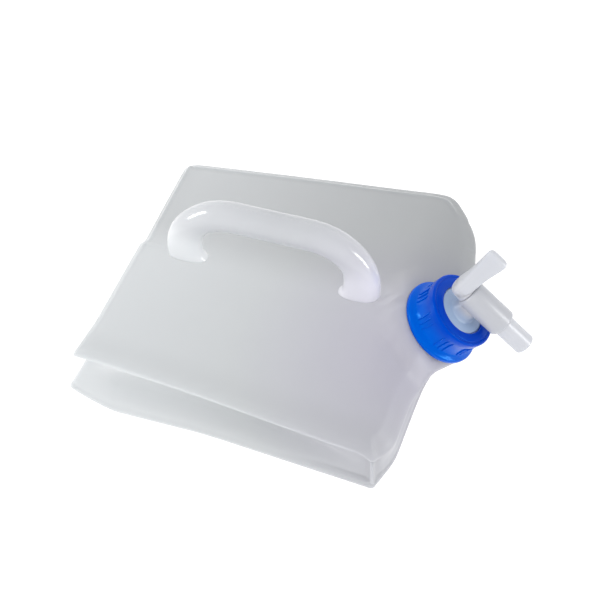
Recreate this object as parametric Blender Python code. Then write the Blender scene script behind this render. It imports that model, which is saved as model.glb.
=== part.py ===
"""Folding water carrier with a screw-on tap, collapsed flat on a table.

Metres, +Z up. The origin is on the table under the middle of the body. The handle runs
along X, with the filler neck at its +X end, and -Y is the side nearest the viewer.
"""

from math import ceil, cos, floor, pi, radians, sin, tau

import bmesh
import bpy
import numpy as np
from mathutils import Matrix

# Clearance between pieces that touch or were parted along a fold line
GAP = 0.0003

# Blow-moulded body, folded flat
HALF_LENGTH = 0.120
HALF_DEPTH = 0.122
NEAR_LEFT_HEIGHT = 0.067
NEAR_RIGHT_HEIGHT = 0.037
FAR_LEFT_HEIGHT = 0.037
FAR_RIGHT_HEIGHT = 0.070
RIDGE_HEIGHT = 0.0615
RIDGE_ROUNDING_LEFT = 0.004
RIDGE_ROUNDING_RIGHT = 0.016
NECK_RISE = 0.007
NECK_RISE_LENGTH = 0.050
NECK_FACET_BACK = 0.0317
NECK_FACET_ROUNDING = 0.004
NECK_FACET_SLOPE_SHARE = 0.72
NECK_SWELL_REACH = 0.056
NECK_SWELL_LENGTH = 0.022
NECK_SWELL_DROP = 0.0016
TIP_HEIGHT = 0.0235
SHELL_WALL = 0.0012
RIM_RADIUS = 0.005
FOLD_DEPTH = 0.034
FOLD_GROWTH_LENGTH = 0.045
GUSSET_DEPTH = 0.009
GUSSET_REACH = 0.016
GUSSET_PEAK_SHARE = 0.87
CORNER_SETBACK = 0.010
OUTLINE_STEP = 0.018

# Carrying handle, a hollow arch on the ridge
HANDLE_CENTRE_X = -0.0008
HANDLE_HALF_SPAN = 0.0731
HANDLE_LEG_RISE = 0.0072
HANDLE_BEND_RADIUS = 0.044
HANDLE_TUBE_RADIUS = 0.0117
HANDLE_FOOT_HALF_LENGTH = 0.0142
HANDLE_FOOT_HALF_WIDTH = 0.0084
HANDLE_FOOT_INSET = 0.003
HANDLE_FOOT_DROP = 0.004
HANDLE_WALL = 0.0018
HANDLE_FOOT_SHARE = 0.9

# Filler neck, tilted outward at the right end of the ridge
NECK_OVERHANG = 0.0107
NECK_SEAT_HEIGHT = 0.05065
NECK_TILT = radians(35.3)
NECK_OUTER_RADIUS = 0.0234
NECK_WALL = 0.0026
NECK_HEIGHT = 0.0200
COLLAR_RADIUS = 0.0330
COLLAR_TOP_RADIUS = 0.0312
COLLAR_SKIRT = 0.0045
COLLAR_WALL = 0.0018
COLLAR_CLEARANCE = 0.0007

# Right-hand thread of the neck and the ring
THREAD_PITCH = 0.0040
THREAD_TURNS = 2.0
THREAD_HEIGHT = 0.0014
THREAD_ROOT_WIDTH = 0.0017
THREAD_CREST_WIDTH = 0.0008
THREAD_EMBED = 0.0005
THREAD_CLEARANCE = 0.0004
THREAD_START = 0.0075

# Screw ring
RING_HEIGHT = 0.0262
RING_TOP_THICKNESS = 0.0022
RING_FLANGE_RADIUS = 0.0326
RING_FLANGE_HEIGHT = 0.0036
RING_WAIST_RADIUS = 0.0274
RING_RIM_RADIUS = 0.0286
RING_HOLE_RADIUS = 0.0186
RING_EDGE = 0.0008
RING_WAIST_SHARES = (0.40, 0.62)
RING_RIM_SHARE = 0.80
RIB_GROUPS = 8
RIBS_PER_GROUP = 3
RIB_HEIGHT = 0.0009
RIB_WIDTH = 0.0013
RIB_LENGTH = 0.0105
RIB_PITCH_ANGLE = radians(8.0)

# Washer and tap flange, clamped by the ring on the neck's rim
WASHER_THICKNESS = 0.0014
WASHER_OUTER_RADIUS = 0.0236
WASHER_HOLE_RADIUS = 0.0150
TAP_FLANGE_THICKNESS = 0.0017
TAP_BOSS_RADIUS = 0.0180
TAP_BOSS_RISE = 0.0012

# Tap housing, a stem and a barrel across it
STEM_BASE_RADIUS = 0.0092
STEM_TOP_RADIUS = 0.0080
STEM_BORE_RADIUS = 0.0045
BARREL_OVER_RING = 0.0153
BARREL_SWING = radians(-7.39)
BARREL_RADIUS = 0.01075
BARREL_BACK = 0.0098
BARREL_FRONT = 0.0256
BARREL_EDGE = 0.0009

# Tap plug: lever, plug and nozzle in one piece
PLUG_RADIUS = 0.0080
PLUG_CLEARANCE = 0.0003
PLUG_BORE_RADIUS = 0.0052
PLUG_END_WALL = 0.0060
NOZZLE_LENGTH = 0.0236
NOZZLE_EDGE = 0.0010
LEVER_HUB_RADIUS = 0.0088
LEVER_HUB_LENGTH = 0.0115
LEVER_REACH = 0.0415
LEVER_LEAN = 0.0042
LEVER_ROOT_WIDTH = 0.0113
LEVER_TIP_WIDTH = 0.0158
LEVER_ROOT_THICKNESS = 0.0112
LEVER_TIP_THICKNESS = 0.0066
LEVER_EDGE = 0.0022

CUT_OVERRUN = 0.004
ROUND_SIDES = 36
HANDLE_SIDES = 16
HANDLE_BEND_STEPS = 7
THREAD_STEPS_PER_TURN = 28

# Corners of the folded body, in order round it from the near left: the upper lip's x and
# y, then the lower lip's, as shares of the half length and half depth, then the rounding as
# a share of the corner setback.
CORNER_SHARES = {
    "near_left": ((-0.935, -0.975), (-1.022, -0.992), 0.5),
    "near_left_floor": ((-0.700, -0.962), (-0.717, -0.986), 0.8),
    "front_middle": ((-0.150, -0.958), (-0.150, -0.970), 1.2),
    "near_right": ((0.930, -0.982), (0.954, -1.020), 0.6),
    "right_near": ((1.021, -0.852), (1.035, -0.800), 0.8),
    "right_bend": ((1.050, -0.508), (1.060, -0.450), 1.2),
    "neck_near": ((1.117, -0.328), (1.080, -0.230), 1.2),
    "neck_side": ((1.225, -0.164), (1.121, -0.066), 1.0),
    "neck": ((1.330, 0.025), (1.150, 0.082), 1.2),
    "neck_far": ((1.267, 0.279), (1.167, 0.295), 1.2),
    "right_far": ((1.218, 0.545), (1.150, 0.541), 1.2),
    "far_shoulder": ((1.170, 0.765), (1.108, 0.754), 1.2),
    "far_right": ((0.958, 1.000), (0.933, 0.967), 0.9),
    "far_left": ((-1.066, 1.033), (-1.000, 0.984), 1.1),
    "left_notch": ((-0.932, 0.057), (-0.917, 0.057), 0.6),
    "left_floor": ((-0.922, -0.697), (-0.960, -0.697), 0.8),
}
# Each wall's first and last corner. Then, as shares: its fold of the fold depth, how fast
# that grows from either end, and the height of its crease between the lips at either end.
WALL_SHARES = {
    "front_wall": ("near_left", "near_right", 0.42, (0.9, 1.1), (0.52, 0.48)),
    "right_wall": ("near_right", "far_right", 0.12, (1.0, 1.0), (0.50, 0.50)),
    "rear_wall": ("far_right", "far_left", 1.0, (1.0, 1.0), (0.50, 0.50)),
    "left_wall": ("far_left", "near_left", 0.55, (1.0, 1.0), (0.50, 0.50)),
}
ARC_STEPS = 3

# Cross-section of the skin. Panel rows run from the middle to the rim as shares of that way;
# rim rows are inset and rise as shares of the rim radius; fold rows are shares of the fold's
# depth and of the way from the crease up to the upper lip, or down to the lower one; floor
# rows are shares of the way to the middle.
PANEL_ROW_SHARES = (0.06, 0.24, 0.48, 0.76)
MIDDLE_SHARE = 0.35
RIM_ROW_SHARES = ((2.8, 0.0), (2.0, -0.12), (1.2, 0.20), (0.35, -0.05), (0.0, -0.80), (0.2, -1.35))
FOLD_ROW_SHARES = ((0.10, 0.86), (0.80, 0.12), (1.0, 0.0), (0.80, -0.12), (0.10, -0.86))
LIP_ROW_SHARES = ((0.2, 0.45), (0.0, 0.0), (0.3, -0.70), (1.0, -1.0))
FLOOR_ROW_SHARES = (0.12, 0.28)
SETBACK_LIMIT_SHARE = 0.45
SETBACK_LEAST_SHARE = 0.05


def clear_scene():
    for old in list(bpy.data.objects):
        bpy.data.objects.remove(old, do_unlink=True)


def plastic(name, colour, roughness, transmission=0.0):
    material = bpy.data.materials.new(name)
    material.use_nodes = True
    shader = material.node_tree.nodes["Principled BSDF"]
    shader.inputs["Base Color"].default_value = (*colour, 1.0)
    shader.inputs["Roughness"].default_value = roughness
    shader.inputs["Metallic"].default_value = 0.0
    shader.inputs["Transmission Weight"].default_value = transmission
    return material


def add_object(name, bm, material=None, parent=None, smooth_angle=radians(40)):
    """Turns a bmesh into a named object whose faces point out."""
    bmesh.ops.remove_doubles(bm, verts=bm.verts, dist=GAP / 100)
    bmesh.ops.recalc_face_normals(bm, faces=bm.faces)
    mesh = bpy.data.meshes.new(name)
    bm.to_mesh(mesh)
    bm.free()
    mesh.shade_smooth()
    mesh.set_sharp_from_angle(angle=smooth_angle)
    obj = bpy.data.objects.new(name, mesh)
    bpy.context.scene.collection.objects.link(obj)
    obj.parent = parent
    if material:
        mesh.materials.append(material)
    return obj


def add_empty(name, location, rotation, parent=None):
    empty = bpy.data.objects.new(name, None)
    bpy.context.scene.collection.objects.link(empty)
    empty.parent = parent
    empty.location = location
    empty.rotation_euler = rotation
    return empty


def combine(obj, other, operation):
    """Adds or cuts another object, which stays out of the build as a guide."""
    other.hide_render = True
    other.display_type = "WIRE"
    modifier = obj.modifiers.new(operation.title() + "_" + other.name, "BOOLEAN")
    modifier.operation = operation
    modifier.solver = "EXACT"
    modifier.object = other


def turned_bmesh(profile, sides=ROUND_SIDES):
    """Spins a closed profile of (radius, height) points about Z."""
    bm = bmesh.new()
    verts = [bm.verts.new((radius, 0.0, height)) for radius, height in profile]
    edges = [bm.edges.new((verts[i - 1], verts[i])) for i in range(len(verts))]
    bmesh.ops.spin(
        bm,
        geom=verts + edges,
        cent=(0.0, 0.0, 0.0),
        axis=(0.0, 0.0, 1.0),
        angle=tau,
        steps=sides,
        use_merge=True,
        use_duplicate=False,
    )
    return bm


def rod_bmesh(radius, bottom, top, sides=ROUND_SIDES):
    """A plain round rod along Z between two heights."""
    bm = bmesh.new()
    middle = Matrix.Translation((0.0, 0.0, (bottom + top) / 2))
    bmesh.ops.create_cone(
        bm,
        cap_ends=True,
        segments=sides,
        radius1=radius,
        radius2=radius,
        depth=top - bottom,
        matrix=middle,
    )
    return bm


def along_barrel(bm):
    """Turns a shape made along Z so that it lies along the barrel's axis, +X."""
    bmesh.ops.rotate(bm, verts=bm.verts, cent=(0.0, 0.0, 0.0), matrix=Matrix.Rotation(pi / 2, 3, "Y"))
    return bm


def corner_points(lip):
    """The corners of one lip in plan, and how far each is rounded off."""
    points = np.zeros((len(CORNER_SHARES), 3))
    for point, shares in zip(points, CORNER_SHARES.values()):
        point[0] = shares[lip][0] * HALF_LENGTH
        point[1] = shares[lip][1] * HALF_DEPTH
    setbacks = np.array([shares[2] for shares in CORNER_SHARES.values()]) * CORNER_SETBACK
    return points, setbacks


def neck_x():
    """Where the neck stands, just past the end of the body's half length."""
    return HALF_LENGTH + NECK_OVERHANG


def panel_height(points):
    """Height of the top panel: two halves that meet at a soft ridge, with a sloping facet
    at its right end, which swells up to the neck's collar."""
    corners, _ = corner_points(0)
    places = dict(zip(CORNER_SHARES, corners))
    x, y = points[:, 0], points[:, 1]

    def edge(left, right, left_height, right_height):
        along = (x - places[left][0]) / (places[right][0] - places[left][0])
        height = left_height + (right_height - left_height) * along
        line = places[left][1] + (places[right][1] - places[left][1]) * along
        return height, line

    near, near_y = edge("near_left", "near_right", NEAR_LEFT_HEIGHT, NEAR_RIGHT_HEIGHT)
    far, far_y = edge("far_left", "far_right", FAR_LEFT_HEIGHT, FAR_RIGHT_HEIGHT)
    facet_x = neck_x() - NECK_FACET_BACK
    climb = np.clip(1 - (facet_x - x) / NECK_RISE_LENGTH, 0.0, 1.0)
    beyond = (x - facet_x) / NECK_FACET_ROUNDING
    drop = np.logaddexp(0.0, beyond) * NECK_FACET_ROUNDING * NECK_FACET_SLOPE_SHARE
    ridge = RIDGE_HEIGHT + NECK_RISE * climb**2 - drop
    across = np.clip((x + HALF_LENGTH) / (2 * HALF_LENGTH), 0.0, 1.0)
    rounding = RIDGE_ROUNDING_LEFT + (RIDGE_ROUNDING_RIGHT - RIDGE_ROUNDING_LEFT) * across
    away = np.sqrt(y**2 + rounding**2) - rounding
    toward = np.where(y < 0, away / np.abs(near_y), away / np.abs(far_y))
    height = ridge + (np.where(y < 0, near, far) - ridge) * toward
    past = x - neck_x()
    seat = NECK_SEAT_HEIGHT - (NECK_SWELL_DROP + sin(NECK_TILT) * past) / cos(NECK_TILT)
    reach = np.hypot(past / cos(NECK_TILT), y)
    share = np.clip((NECK_SWELL_REACH - reach) / NECK_SWELL_LENGTH, 0.0, 1.0)
    return height + (seat - height) * share**2 * (3 - 2 * share)


def inset_corners(points, setbacks, inset):
    """The corners drawn in evenly in plan, with their roundings reduced to stay parallel."""
    ahead = np.roll(points, -1, axis=0) - points
    ahead /= np.linalg.norm(ahead, axis=1, keepdims=True)
    back = np.roll(ahead, 1, axis=0)
    turn = back[:, 0] * ahead[:, 1] - back[:, 1] * ahead[:, 0]
    facing = 1 + np.sum(back * ahead, axis=1)
    into = np.stack([-back[:, 1] - ahead[:, 1], back[:, 0] + ahead[:, 0], np.zeros(len(points))], axis=1)
    return points + into / facing[:, None] * inset, setbacks - turn / facing * inset


def lip_row(lip, span_counts, inset=0.0):
    """One lip in plan as a closed row: an arc at each corner, then even steps to the next."""
    points, setbacks = inset_corners(*corner_points(lip), inset)
    ahead = np.roll(points, -1, axis=0) - points
    lengths = np.linalg.norm(ahead, axis=1)
    room = np.minimum(lengths, np.roll(lengths, 1)) * SETBACK_LIMIT_SHARE
    setbacks = np.clip(setbacks, room * SETBACK_LEAST_SHARE, room)
    ahead /= lengths[:, None]
    starts = points - np.roll(ahead, 1, axis=0) * setbacks[:, None]
    ends = points + ahead * setbacks[:, None]
    row = []
    for k, corner in enumerate(points):
        for j in range(ARC_STEPS + 1):
            t = j / ARC_STEPS
            row.append((1 - t) ** 2 * starts[k] + 2 * t * (1 - t) * corner + t**2 * ends[k])
        next_start = starts[(k + 1) % len(points)]
        for j in range(1, span_counts[k]):
            row.append(ends[k] + (next_start - ends[k]) * j / span_counts[k])
    return np.array(row)


def spans():
    """Steps along each span of the outline, and each corner's middle place in a row."""
    points, _ = corner_points(0)
    lengths = np.linalg.norm(np.roll(points, -1, axis=0) - points, axis=1)
    span_counts = [max(1, round(length / OUTLINE_STEP) - 1) for length in lengths]
    middles = {}
    place = 0
    for count, name in zip(span_counts, CORNER_SHARES):
        middles[name] = place + ARC_STEPS / 2
        place += ARC_STEPS + count
    return span_counts, middles


def inward(row):
    """Unit directions in plan, square to a closed row of points and into the body."""
    along = np.roll(row, -1, axis=0) - np.roll(row, 1, axis=0)
    into = np.stack([-along[:, 1], along[:, 0], np.zeros(len(row))], axis=1)
    return into / np.linalg.norm(into, axis=1, keepdims=True)


def fold_shapes(row, middles):
    """How far the wall folds in at each point, growing from either end of its wall, and the
    height share of its crease there."""
    steps = np.linalg.norm(np.roll(row, -1, axis=0) - row, axis=1)
    walked = np.concatenate([[0.0], np.cumsum(steps)])
    depths = np.zeros(len(row))
    creases = np.zeros(len(row))
    for first, last, fold_share, growth_shares, crease_shares in WALL_SHARES.values():
        begin = middles[first]
        end = begin + (middles[last] - begin) % len(row)
        places = np.arange(ceil(begin), floor(end) + 1)
        turns = walked[-1] * (places // len(row))
        marks = walked[places % len(row)] + turns
        from_ends = np.stack([marks - marks[0], marks[-1] - marks])
        growths = np.array(growth_shares)[:, None] * FOLD_GROWTH_LENGTH
        grown = np.prod(1 - np.exp(-((from_ends / growths) ** 2)), axis=0)
        depths[places % len(row)] = FOLD_DEPTH * fold_share * grown
        along = from_ends[0] / from_ends[0][-1]
        creases[places % len(row)] = crease_shares[0] + (crease_shares[1] - crease_shares[0]) * along
    return depths, creases


def at_height(points, height):
    lifted = points.copy()
    lifted[:, 2] = height
    return lifted


def middles_of(row):
    """The point on the body's middle line that each point of a row is drawn from."""
    nearest = np.zeros_like(row)
    nearest[:, 0] = row[:, 0] * MIDDLE_SHARE
    return nearest


def upper_rows(span_counts):
    """Rows of the top panel, from its middle out over the rolled rim."""
    rim_start = lip_row(0, span_counts, RIM_ROW_SHARES[0][0] * RIM_RADIUS)
    middle = middles_of(rim_start)
    rows = []
    for share in PANEL_ROW_SHARES:
        row = middle + (rim_start - middle) * share
        rows.append(at_height(row, panel_height(row)))
    for inset, rise in RIM_ROW_SHARES:
        row = lip_row(0, span_counts, inset * RIM_RADIUS)
        rows.append(at_height(row, panel_height(row) + rise * RIM_RADIUS))
    return rows


def gusset_shares(row, middles, heights):
    """How far the near left corner tucks in at each point: nothing at the lips, most just
    under the upper one."""
    corner = row[round(middles["near_left"]) % len(row)]
    away = np.linalg.norm(row[:, :2] - corner[:2], axis=1)
    tucked = np.minimum((1 - heights) / (1 - GUSSET_PEAK_SHARE), heights / GUSSET_PEAK_SHARE)
    return tucked * np.exp(-((away / GUSSET_REACH) ** 2))


def fold_rows(top, foot, middles):
    """Rows of the side walls, in to the fold line and out again."""
    into = inward(top) + inward(foot)
    into /= np.linalg.norm(into, axis=1, keepdims=True)
    corner_way = into[round(middles["near_left"]) % len(top)]
    depths, creases = fold_shapes(top, middles)
    rows = []
    for depth_share, place_share in FOLD_ROW_SHARES:
        above = creases + (1 - creases) * place_share
        heights = np.where(place_share > 0, above, creases * (1 + place_share))
        edge = foot + (top - foot) * heights[:, None]
        tuck = gusset_shares(top, middles, heights) * GUSSET_DEPTH
        moved = edge + into * (depths * depth_share)[:, None] + corner_way * tuck[:, None]
        rows.append(at_height(moved, edge[:, 2]))
    return rows


def tip_lift(row):
    """How far the lower lip is lifted off the table, only about its near left tip."""
    corners, _ = corner_points(1)
    reach = np.linalg.norm(corners[1] - corners[0])
    away = np.linalg.norm(row[:, :2] - corners[0][:2], axis=1) / reach
    return (TIP_HEIGHT - RIM_RADIUS) * np.clip(1 - away, 0.0, 1.0) ** 1.5


def lower_rows(span_counts):
    """Rows of the bottom panel, round the lower lip and down to the flat."""
    rows = []
    for inset, rise in LIP_ROW_SHARES:
        row = lip_row(1, span_counts, inset * RIM_RADIUS)
        rows.append(at_height(row, (1 + rise) * RIM_RADIUS + tip_lift(row)))
    edge = at_height(rows[-1], 0.0)
    middle = middles_of(edge)
    for share in FLOOR_ROW_SHARES:
        row = edge + (middle - edge) * share
        rows.append(at_height(row, tip_lift(row)))
    return rows


def skin_grid():
    """The whole skin as rows of points: outer face, inner face, and where its parts begin."""
    span_counts, middles = spans()
    top = upper_rows(span_counts)
    bottom = lower_rows(span_counts)
    sides = fold_rows(top[-1], bottom[0], middles)
    outer = np.array(top + sides + bottom)
    around = np.roll(outer, -1, axis=1) - np.roll(outer, 1, axis=1)
    down = np.gradient(outer, axis=0)
    normals = np.cross(down, around)
    normals[0] = (0.0, 0.0, 1.0)
    normals[-1] = (0.0, 0.0, -1.0)
    flat = np.abs(outer[:, :, 2]) < GAP / 100
    normals[flat] = (0.0, 0.0, -1.0)
    normals /= np.linalg.norm(normals, axis=2, keepdims=True)
    inner = outer - normals * SHELL_WALL
    return outer, inner, middles, len(top), len(top) + len(sides)


def between(first, second, side):
    """Half way between two rows, drawn back by half the gap to one side."""
    step = second - first
    length = np.linalg.norm(step, axis=-1, keepdims=True)
    return (first + second) / 2 + side * step / length * GAP / 2


def stretch(grid, start, end):
    """Rows of a grid from start to end; a half-way end is cut there with its half of the gap."""
    count = len(grid)
    rows = [grid[place % count] for place in range(ceil(start), floor(end) + 1)]
    if start != floor(start):
        rows.insert(0, between(grid[floor(start) % count], grid[ceil(start) % count], 1))
    if end != floor(end):
        rows.append(between(grid[floor(end) % count], grid[ceil(end) % count], -1))
    return np.array(rows)


def sheet_bmesh(outer, inner, closed, capped_row=None):
    """A thin solid between two grids of rows. A closed one runs right round, and one of its
    end rows may be capped."""
    bm = bmesh.new()
    layers = [[[bm.verts.new(point) for point in row] for row in grid] for grid in (outer, inner)]
    columns = len(outer[0])
    spans = [(j, (j + 1) % columns) for j in range(columns if closed else columns - 1)]
    for layer in layers:
        for upper_row, lower_row in zip(layer, layer[1:]):
            for a, b in spans:
                bm.faces.new((upper_row[a], upper_row[b], lower_row[b], lower_row[a]))
    for edge in (0, -1):
        if edge == capped_row:
            bm.faces.new(layers[0][edge])
            bm.faces.new(layers[1][edge])
            continue
        for a, b in spans:
            bm.faces.new((layers[0][edge][a], layers[0][edge][b], layers[1][edge][b], layers[1][edge][a]))
    if not closed:
        for edge in (0, -1):
            for k in range(len(outer) - 1):
                outer_pair = (layers[0][k][edge], layers[0][k + 1][edge])
                inner_pair = (layers[1][k + 1][edge], layers[1][k][edge])
                bm.faces.new(outer_pair + inner_pair)
    bmesh.ops.triangulate(bm, faces=bm.faces)
    return bm


def make_body(material):
    """Top panel, four folded walls and bottom panel, parted along the fold lines."""
    outer, inner, middles, wall_start, wall_end = skin_grid()
    count = outer.shape[1]
    parts = {}

    def panel(name, start, end, capped_row):
        bm = sheet_bmesh(stretch(outer, start, end), stretch(inner, start, end), True, capped_row)
        parts[name] = add_object(name, bm, material)

    panel("upper_panel", 0, wall_start - 0.5, 0)
    panel("lower_panel", wall_end - 0.5, len(outer) - 1, -1)
    for name, (first, last, *_) in WALL_SHARES.items():
        begin = middles[first]
        end = begin + (middles[last] - begin) % count
        grids = []
        for grid in (outer, inner):
            rows = stretch(grid, wall_start - 0.5, wall_end - 0.5)
            turned = stretch(rows.transpose(1, 0, 2), begin, end)
            grids.append(turned.transpose(1, 0, 2))
        parts[name] = add_object(name, sheet_bmesh(grids[0], grids[1], False), material)
    return parts


def handle_rings(growth, drop):
    """Rings of the handle's tube from the left foot over to the right one."""
    stations = []
    side_x = HANDLE_HALF_SPAN
    base_z = RIDGE_HEIGHT
    bend_z = base_z + HANDLE_LEG_RISE
    foot = (HANDLE_FOOT_HALF_LENGTH, HANDLE_FOOT_HALF_WIDTH)
    tube = (HANDLE_TUBE_RADIUS, HANDLE_TUBE_RADIUS)
    stations.append((side_x - HANDLE_FOOT_INSET, base_z - drop, 0.0, foot))
    stations.append((side_x - HANDLE_FOOT_INSET, base_z + HANDLE_FOOT_DROP / 2, 0.0, foot))
    for k in range(HANDLE_BEND_STEPS + 1):
        angle = pi / 2 * k / HANDLE_BEND_STEPS
        x = side_x - HANDLE_BEND_RADIUS * (1 - cos(angle))
        z = bend_z + HANDLE_BEND_RADIUS * sin(angle)
        ease = max(0.0, 1 - 2 * k / HANDLE_BEND_STEPS) * HANDLE_FOOT_SHARE
        size = tuple(t + (f - t) * ease for t, f in zip(tube, foot))
        stations.append((x, z, angle, size))
    left = [(-x, z, -angle, size) for x, z, angle, size in stations]
    rings = []
    for x, z, angle, (half_length, half_width) in left + stations[::-1]:
        ring = []
        for j in range(HANDLE_SIDES):
            turn = tau * j / HANDLE_SIDES
            across = cos(turn) * (half_length + growth)
            depth = sin(turn) * (half_width + growth)
            ring.append((HANDLE_CENTRE_X + x + across * cos(angle), depth, z + across * sin(angle)))
        rings.append(ring)
    return rings


def tube_bmesh(rings):
    """Skins a row of rings into an open tube."""
    bm = bmesh.new()
    loops = []
    for ring in rings:
        verts = [bm.verts.new(point) for point in ring]
        loops.append([bm.edges.new((verts[j - 1], verts[j])) for j in range(len(verts))])
    for first, second in zip(loops, loops[1:]):
        bmesh.ops.bridge_loops(bm, edges=first + second)
    return bm


def make_handle(material, upper_panel):
    """A hollow arch whose feet drop through the panel, so that it fills with the body."""
    handle = add_object("carry_handle", tube_bmesh(handle_rings(0.0, HANDLE_FOOT_DROP)), material)
    shell = handle.modifiers.new("Wall", "SOLIDIFY")
    shell.thickness = HANDLE_WALL
    shell.offset = -1.0
    for side, rings in (("left", handle_rings(GAP, CUT_OVERRUN + HANDLE_FOOT_DROP)[:3]),
                        ("right", handle_rings(GAP, CUT_OVERRUN + HANDLE_FOOT_DROP)[-3:])):
        bm = tube_bmesh(rings)
        bmesh.ops.holes_fill(bm, edges=bm.edges)
        cutter = add_object("handle_foot_hole_" + side, bm)
        combine(upper_panel, cutter, "DIFFERENCE")
    return handle


def thread_bmesh(wall_radius, outward, start):
    """A helical ridge on a round wall, its ends run out to nothing."""
    steps = round(THREAD_TURNS * THREAD_STEPS_PER_TURN)
    run_out = THREAD_STEPS_PER_TURN // 5
    bm = bmesh.new()
    rings = []
    for k in range(steps + 1):
        angle = tau * k / THREAD_STEPS_PER_TURN
        full = min(1.0, k / run_out, (steps - k) / run_out)
        crest = wall_radius + outward * THREAD_HEIGHT * full
        root = wall_radius - outward * THREAD_EMBED
        height = start + THREAD_PITCH * angle / tau
        section = (
            (root, -THREAD_ROOT_WIDTH / 2),
            (crest - outward * GAP * (1 - full), -THREAD_CREST_WIDTH / 2),
            (crest - outward * GAP * (1 - full), THREAD_CREST_WIDTH / 2),
            (root, THREAD_ROOT_WIDTH / 2),
        )
        rings.append([bm.verts.new((r * cos(angle), r * sin(angle), height + z)) for r, z in section])
    for first, second in zip(rings, rings[1:]):
        for j in range(len(first)):
            bm.faces.new((first[j - 1], first[j], second[j], second[j - 1]))
    bm.faces.new(rings[0])
    bm.faces.new(rings[-1])
    return bm


def make_neck(material, neck_axis, upper_panel):
    """Collar and threaded neck, open to the body."""
    bore = NECK_OUTER_RADIUS - NECK_WALL
    deck = -COLLAR_CLEARANCE
    under = deck - COLLAR_WALL
    profile = (
        (COLLAR_RADIUS, -COLLAR_SKIRT),
        (COLLAR_RADIUS, deck - COLLAR_WALL),
        (COLLAR_TOP_RADIUS, deck),
        (NECK_OUTER_RADIUS, deck),
        (NECK_OUTER_RADIUS, NECK_HEIGHT - RING_EDGE),
        (NECK_OUTER_RADIUS - RING_EDGE, NECK_HEIGHT),
        (bore, NECK_HEIGHT),
        (bore, under),
        (COLLAR_TOP_RADIUS - COLLAR_WALL, under),
        (COLLAR_RADIUS - COLLAR_WALL, under - COLLAR_WALL),
        (COLLAR_RADIUS - COLLAR_WALL, -COLLAR_SKIRT),
    )
    neck = add_object("filler_neck", turned_bmesh(profile), material, neck_axis)
    thread = add_object("neck_thread", thread_bmesh(NECK_OUTER_RADIUS, 1, THREAD_START), parent=neck_axis)
    combine(neck, thread, "UNION")
    hole = rod_bmesh(COLLAR_RADIUS + GAP, -COLLAR_SKIRT - GAP, NECK_HEIGHT)
    cutter = add_object("neck_hole", hole, parent=neck_axis)
    combine(upper_panel, cutter, "DIFFERENCE")
    return neck


def ring_wall_radius():
    return NECK_OUTER_RADIUS + THREAD_HEIGHT + THREAD_CLEARANCE


def make_ring(material, neck_axis):
    """Screw ring with grip ribs, which clamps the tap's flange on the neck."""
    wall = ring_wall_radius()
    ceiling = RING_HEIGHT - RING_TOP_THICKNESS
    profile = (
        (RING_FLANGE_RADIUS - RING_EDGE, 0.0),
        (RING_FLANGE_RADIUS, RING_EDGE),
        (RING_FLANGE_RADIUS, RING_FLANGE_HEIGHT - RING_EDGE),
        (RING_FLANGE_RADIUS - RING_EDGE, RING_FLANGE_HEIGHT),
        ((RING_FLANGE_RADIUS + RING_WAIST_RADIUS) / 2, RING_FLANGE_HEIGHT + RING_EDGE * 2),
        (RING_WAIST_RADIUS, RING_HEIGHT * RING_WAIST_SHARES[0]),
        (RING_WAIST_RADIUS, RING_HEIGHT * RING_WAIST_SHARES[1]),
        (RING_RIM_RADIUS, RING_HEIGHT * RING_RIM_SHARE),
        (RING_RIM_RADIUS, RING_HEIGHT - RING_EDGE),
        (RING_RIM_RADIUS - RING_EDGE, RING_HEIGHT),
        (RING_HOLE_RADIUS + RING_EDGE / 2, RING_HEIGHT),
        (RING_HOLE_RADIUS, RING_HEIGHT - RING_EDGE / 2),
        (RING_HOLE_RADIUS, ceiling),
        (wall, ceiling),
        (wall, 0.0),
    )
    ring = add_object("screw_ring", turned_bmesh(profile), material, neck_axis)
    start = THREAD_START + THREAD_PITCH / 2 - THREAD_PITCH
    ring_thread = thread_bmesh(wall, -1, start)
    thread = add_object("ring_thread", ring_thread, parent=neck_axis)
    combine(ring, thread, "UNION")
    ribs = add_object("ring_ribs", ribs_bmesh(), parent=neck_axis)
    combine(ring, ribs, "UNION")
    return ring


def ribs_bmesh():
    """Raised grip ribs in groups round the ring's waist."""
    bm = bmesh.new()
    middle = RING_HEIGHT / 2
    for group in range(RIB_GROUPS):
        for rib in range(RIBS_PER_GROUP):
            spread = (rib - (RIBS_PER_GROUP - 1) / 2) * RIB_PITCH_ANGLE
            turn = Matrix.Rotation(tau * group / RIB_GROUPS + spread, 4, "Z")
            size = Matrix.Diagonal((RIB_HEIGHT * 2, RIB_WIDTH, RIB_LENGTH, 1.0))
            place = Matrix.Translation((RING_WAIST_RADIUS, 0.0, middle))
            bmesh.ops.create_cube(bm, size=1.0, matrix=turn @ place @ size)
    return bm


def stack_heights():
    """Heights of the washer and the tap's flange between neck and ring."""
    washer = NECK_HEIGHT + GAP
    flange = washer + WASHER_THICKNESS + GAP
    return washer, flange


def make_washer(material, neck_axis):
    """Flat rubber seal on the neck's rim."""
    bottom, _ = stack_heights()
    top = bottom + WASHER_THICKNESS
    profile = (
        (WASHER_HOLE_RADIUS, bottom),
        (WASHER_OUTER_RADIUS, bottom),
        (WASHER_OUTER_RADIUS, top),
        (WASHER_HOLE_RADIUS, top),
    )
    return add_object("seal_washer", turned_bmesh(profile), material, neck_axis)


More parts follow.
